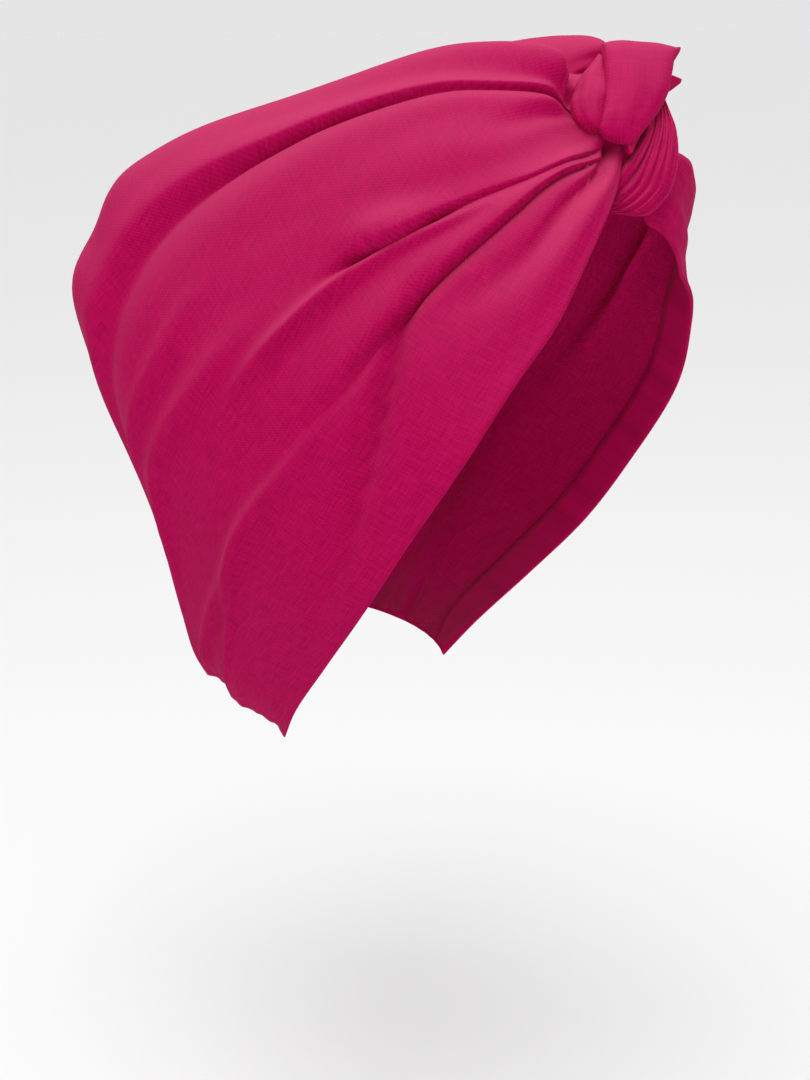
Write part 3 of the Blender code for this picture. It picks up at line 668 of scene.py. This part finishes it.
cotton = {
    # A shaded and a lit copy of the cotton: painted shade for the thread gaps and painted light for the
    # thread crowns. The slubs also move between the two as real yarn tone
    "shadedGapAndDarkYarnColor": (0.31, 0.0008, 0.050, 1),
    "litThreadAndLightYarnColor": (0.54, 0.0035, 0.102, 1),
    "threadPitch": 0.00052,
    "threadDepth": 0.00008,
    "threadShade": 0.5,
    "gapShade": 0.3,
    "slubScale": (130, 1900),  # noise per metre, along a thread and across it
    "slubContrast": 1.1,
    "roughness": 0.82,
    "specular": 0.03,
    "sheen": 0.08,
    # Painted light from above: how much up-facing cloth is mixed towards a lighter colour, from which slope,
    # and that colour
    "topLightPaint": 0.65,
    "topLightFrom": 0.1,  # the lowest upward slope that gets the painted top light
    "paintedTopLightColor": (0.56, 0.055, 0.152, 1),
    "sheenRoughness": 0.4,
    "sheenTint": (1.0, 0.35, 0.55, 1),
}
mixColors = (6, 7)  # the two colour inputs of a Mix node set to RGBA
mixResult = 2


def addSocket(group, name, kind, output=False, value=None):
    socket = group.interface.new_socket(name=name, in_out="OUTPUT" if output else "INPUT", socket_type=kind)
    if value is not None:
        socket.default_value = value
    return socket


def mathNode(tree, operation, first, second=None, third=None):
    node = tree.nodes.new("ShaderNodeMath")
    node.operation = operation
    for index, value in enumerate((first, second, third)):
        if value is None:
            continue
        if isinstance(value, (int, float)):
            node.inputs[index].default_value = value
        else:
            tree.links.new(value, node.inputs[index])
    return node.outputs[0]


# A noise stretched along the threads that run one way, so that some of them are thicker and lighter
def slubNoise(group, split, scaleX, scaleY):
    stretched = group.nodes.new("ShaderNodeCombineXYZ")
    group.links.new(mathNode(group, "MULTIPLY", split.outputs["X"], scaleX), stretched.inputs["X"])
    group.links.new(mathNode(group, "MULTIPLY", split.outputs["Y"], scaleY), stretched.inputs["Y"])
    noise = group.nodes.new("ShaderNodeTexNoise")
    noise.inputs["Scale"].default_value = 1
    noise.inputs["Detail"].default_value = 2
    group.links.new(stretched.outputs[0], noise.inputs["Vector"])
    return noise.outputs[0]


# A plain weave of slightly uneven threads. Its Shade output is painted shade that darkens the gaps between
# the threads and painted light that lightens their crowns, together with the real tone of thicker and thinner
# yarn
def makeWeaveGroup():
    group = bpy.data.node_groups.new("plainWeave", "ShaderNodeTree")
    addSocket(group, "Thread Pitch", "NodeSocketFloat", value=0.0007)
    addSocket(group, "Slub Contrast", "NodeSocketFloat", value=1)
    addSocket(group, "Height", "NodeSocketFloat", output=True)
    addSocket(group, "Shade", "NodeSocketFloat", output=True)
    ins = group.nodes.new("NodeGroupInput")
    outs = group.nodes.new("NodeGroupOutput")
    plan = group.nodes.new("ShaderNodeUVMap")
    plan.uv_map = "clothPlan"
    split = group.nodes.new("ShaderNodeSeparateXYZ")
    group.links.new(plan.outputs["UV"], split.inputs[0])
    crossings = []
    for axis in ("X", "Y"):
        turn = mathNode(group, "DIVIDE", split.outputs[axis], ins.outputs["Thread Pitch"])
        crossings.append(mathNode(group, "SINE", mathNode(group, "MULTIPLY", turn, math.pi)))
    height = mathNode(group, "MULTIPLY_ADD", mathNode(group, "MULTIPLY", *crossings), 0.5, 0.5)  # 0 to 1
    lengthScale, widthScale = cotton["slubScale"]
    acrossSlubs = slubNoise(group, split, lengthScale, widthScale)
    alongSlubs = slubNoise(group, split, widthScale, lengthScale)
    slubs = mathNode(group, "ADD", acrossSlubs, alongSlubs)
    slubs = mathNode(group, "MULTIPLY", mathNode(group, "SUBTRACT", slubs, 1), ins.outputs["Slub Contrast"])
    # Painted shade: the lower a place lies in the weave, the darker its colour
    threads = mathNode(group, "MULTIPLY_ADD", height, cotton["threadShade"], cotton["gapShade"])
    shade = mathNode(group, "ADD", threads, slubs)
    group.links.new(height, outs.inputs["Height"])
    group.links.new(shade, outs.inputs["Shade"])
    return group


# Painted light: cloth that faces up gets a lighter, less saturated colour, which stands for the light from
# above
def makePaintedTopLightGroup():
    group = bpy.data.node_groups.new("paintedTopLight", "ShaderNodeTree")
    addSocket(group, "Color", "NodeSocketColor")
    addSocket(group, "Painted Top Light Color", "NodeSocketColor")
    addSocket(group, "Amount", "NodeSocketFloat", value=0.5)
    addSocket(group, "Color", "NodeSocketColor", output=True)
    ins = group.nodes.new("NodeGroupInput")
    outs = group.nodes.new("NodeGroupOutput")
    surface = group.nodes.new("ShaderNodeNewGeometry")
    split = group.nodes.new("ShaderNodeSeparateXYZ")
    group.links.new(surface.outputs["Normal"], split.inputs[0])
    upward = group.nodes.new("ShaderNodeMapRange")
    upward.interpolation_type = "SMOOTHSTEP"
    upward.inputs["From Min"].default_value = cotton["topLightFrom"]
    group.links.new(split.outputs["Z"], upward.inputs["Value"])
    blend = group.nodes.new("ShaderNodeMix")
    blend.data_type = "RGBA"
    amount = mathNode(group, "MULTIPLY", upward.outputs["Result"], ins.outputs["Amount"])
    group.links.new(amount, blend.inputs["Factor"])
    group.links.new(ins.outputs["Color"], blend.inputs[mixColors[0]])
    group.links.new(ins.outputs["Painted Top Light Color"], blend.inputs[mixColors[1]])
    group.links.new(blend.outputs[mixResult], outs.inputs["Color"])
    return group


def clothMaterial(name, weave, topLightPaint):
    material = bpy.data.materials.new(name)
    material.use_nodes = True
    tree = material.node_tree
    shader = tree.nodes["Principled BSDF"]
    shader.inputs["Roughness"].default_value = cotton["roughness"]
    shader.inputs["Specular IOR Level"].default_value = cotton["specular"]
    shader.inputs["Sheen Weight"].default_value = cotton["sheen"]
    shader.inputs["Sheen Roughness"].default_value = cotton["sheenRoughness"]
    shader.inputs["Sheen Tint"].default_value = cotton["sheenTint"]
    threads = tree.nodes.new("ShaderNodeGroup")
    threads.node_tree = weave
    threads.inputs["Thread Pitch"].default_value = cotton["threadPitch"]
    threads.inputs["Slub Contrast"].default_value = cotton["slubContrast"]
    # Painted shade in the thread gaps and painted light on the thread crowns, mixed with the real lighter and
    # darker yarn of the slubs
    blend = tree.nodes.new("ShaderNodeMix")
    blend.data_type = "RGBA"
    blend.inputs[mixColors[0]].default_value = cotton["shadedGapAndDarkYarnColor"]
    blend.inputs[mixColors[1]].default_value = cotton["litThreadAndLightYarnColor"]
    tree.links.new(threads.outputs["Shade"], blend.inputs["Factor"])
    # Painted light: up-facing cloth is mixed towards the lighter colour that stands for light from above
    topLightNode = tree.nodes.new("ShaderNodeGroup")
    topLightNode.node_tree = topLightPaint
    topLightNode.inputs["Painted Top Light Color"].default_value = cotton["paintedTopLightColor"]
    topLightNode.inputs["Amount"].default_value = cotton["topLightPaint"]
    tree.links.new(blend.outputs[mixResult], topLightNode.inputs["Color"])
    tree.links.new(topLightNode.outputs["Color"], shader.inputs["Base Color"])
    bump = tree.nodes.new("ShaderNodeBump")
    bump.inputs["Distance"].default_value = cotton["threadDepth"]
    bump.inputs["Strength"].default_value = 1
    tree.links.new(threads.outputs["Height"], bump.inputs["Height"])
    tree.links.new(bump.outputs["Normal"], shader.inputs["Normal"])
    return material


weave = makeWeaveGroup()
topLightPaint = makePaintedTopLightGroup()
crownCloth = makeCrown()
crownCloth.data.materials.append(clothMaterial("crown_cotton", weave, topLightPaint))
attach(crownCloth, "root")
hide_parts("crown_wrap")
print("Crown made")

knotCotton = clothMaterial("knot_cotton", weave, topLightPaint)
for name, strand in knotStrands.items():
    piece = makeStrand(name, strand)
    piece.data.materials.append(knotCotton)
    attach(piece, "root")
    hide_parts(strand["node"])
print("Knot made")


# A plain pale floor, well below a wrap that is held up
studio = {
    "floorHeight": -0.30,
    "floorSize": 30,
    "floorColor": (0.88, 0.88, 0.88, 1),
    "floorRoughness": 0.9,
    "keyPlace": (-0.7, -0.3, 1.4),
    "keyTarget": (0, 0.03, 0.02),
    "keySize": 0.8,
    "keyPower": 11,
    "horizonLight": 0.12,
    "zenithLight": 1.3,
    "backdropLight": 0.785,
    "cameraPlace": (-0.54638, -0.34840, 0.13246),
    "cameraAzimuth": -56,
    "cameraElevation": 15,
    "cameraRoll": -1,
    "lens": 88,
    "sensorWidth": 36,
    "nearestSeen": 0.02,
}


def makeFloor():
    floor = gridObject("floor", 2, 2)
    floor.scale = (studio["floorSize"], studio["floorSize"], 1)
    floor.location.z = studio["floorHeight"]
    material = bpy.data.materials.new("floor_paint")
    material.use_nodes = True
    shader = material.node_tree.nodes["Principled BSDF"]
    shader.inputs["Base Color"].default_value = studio["floorColor"]
    shader.inputs["Roughness"].default_value = studio["floorRoughness"]
    floor.data.materials.append(material)


def makeKeyLight():
    lamp = bpy.data.lights.new("key", "AREA")
    lamp.size = studio["keySize"]
    lamp.energy = studio["keyPower"]
    light = bpy.data.objects.new("key", lamp)
    light.location = studio["keyPlace"]
    aim = Vector(studio["keyTarget"]) - Vector(studio["keyPlace"])
    light.rotation_euler = aim.to_track_quat("-Z", "Y").to_euler()
    bpy.context.scene.collection.objects.link(light)


def makeCamera():
    azimuth = math.radians(studio["cameraAzimuth"])
    elevation = math.radians(studio["cameraElevation"])
    roll = math.radians(studio["cameraRoll"])
    back = Vector((
        math.sin(azimuth) * math.cos(elevation),
        -math.cos(azimuth) * math.cos(elevation),
        math.sin(elevation),
    ))
    level = Vector((math.cos(azimuth), math.sin(azimuth), 0))
    upright = back.cross(level)
    side = level * math.cos(roll) + upright * math.sin(roll)
    up = upright * math.cos(roll) - level * math.sin(roll)
    camera = bpy.data.objects.new("camera", bpy.data.cameras.new("camera"))
    turn = Matrix((side, up, back)).transposed().to_4x4()
    camera.matrix_world = Matrix.Translation(studio["cameraPlace"]) @ turn
    camera.data.sensor_fit = "HORIZONTAL"
    camera.data.sensor_width = studio["sensorWidth"]
    camera.data.lens = studio["lens"]
    camera.data.clip_start = studio["nearestSeen"]
    bpy.context.scene.collection.objects.link(camera)
    bpy.context.scene.camera = camera


# A soft dome that is brightest overhead, in front of a plain pale backdrop
def makeWorld():
    world = bpy.data.worlds.new("studio")
    world.use_nodes = True
    tree = world.node_tree
    background = tree.nodes["Background"]
    background.inputs["Color"].default_value = (1, 1, 1, 1)
    place = tree.nodes.new("ShaderNodeTexCoord")
    split = tree.nodes.new("ShaderNodeSeparateXYZ")
    tree.links.new(place.outputs["Generated"], split.inputs[0])
    dome = tree.nodes.new("ShaderNodeMapRange")
    dome.inputs["To Min"].default_value = studio["horizonLight"]
    dome.inputs["To Max"].default_value = studio["zenithLight"]
    tree.links.new(split.outputs["Z"], dome.inputs["Value"])
    path = tree.nodes.new("ShaderNodeLightPath")
    seen = tree.nodes.new("ShaderNodeMix")
    seen.inputs["B"].default_value = studio["backdropLight"]
    tree.links.new(path.outputs["Is Camera Ray"], seen.inputs["Factor"])
    tree.links.new(dome.outputs["Result"], seen.inputs["A"])
    tree.links.new(seen.outputs["Result"], background.inputs["Strength"])
    bpy.context.scene.world = world


makeFloor()
makeKeyLight()
makeWorld()
makeCamera()
bpy.context.scene.view_settings.view_transform = "Standard"
print("Studio made")
